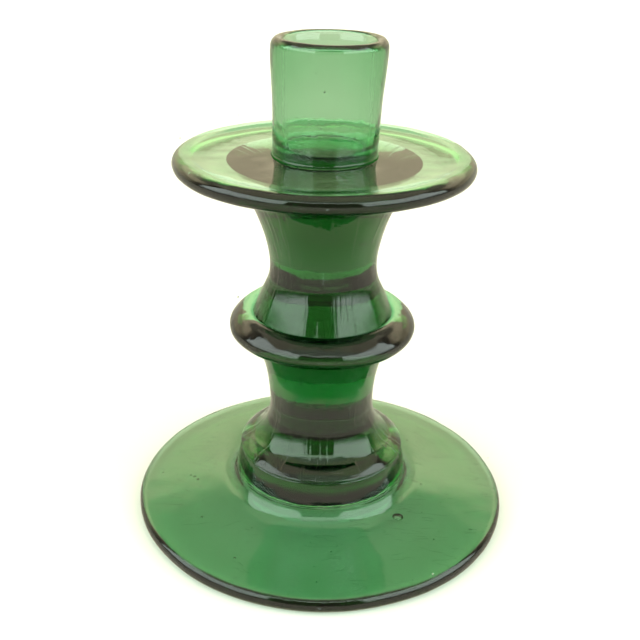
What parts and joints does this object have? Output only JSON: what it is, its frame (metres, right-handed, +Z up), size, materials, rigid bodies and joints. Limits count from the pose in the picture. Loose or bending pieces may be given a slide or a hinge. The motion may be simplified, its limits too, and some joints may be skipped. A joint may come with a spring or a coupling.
{
  "type": "glass candlestick",
  "caption": "Low hand-worked green glass candlestick with a wide round foot, a waisted stem with a heavy ring, a drip pan and a tubular candle socket.",
  "frame": {"origin": "centre of the circle on which the foot rests, at table level", "axes": "+Z up along the axis of the stem, towards the candle; the object is round about Z, so X and Y are free"},
  "size_m": [0.11, 0.11, 0.1376],
  "materials": {
    "green_glass": "gloss"
  },
  "bodies": {
    "root": {"foot": "green_glass", "foot_cushion": "green_glass", "lower_stem": "green_glass", "middle_ring": "green_glass", "upper_stem": "green_glass", "drip_pan": "green_glass", "candle_socket": "green_glass"}
  },
  "joints": []
}
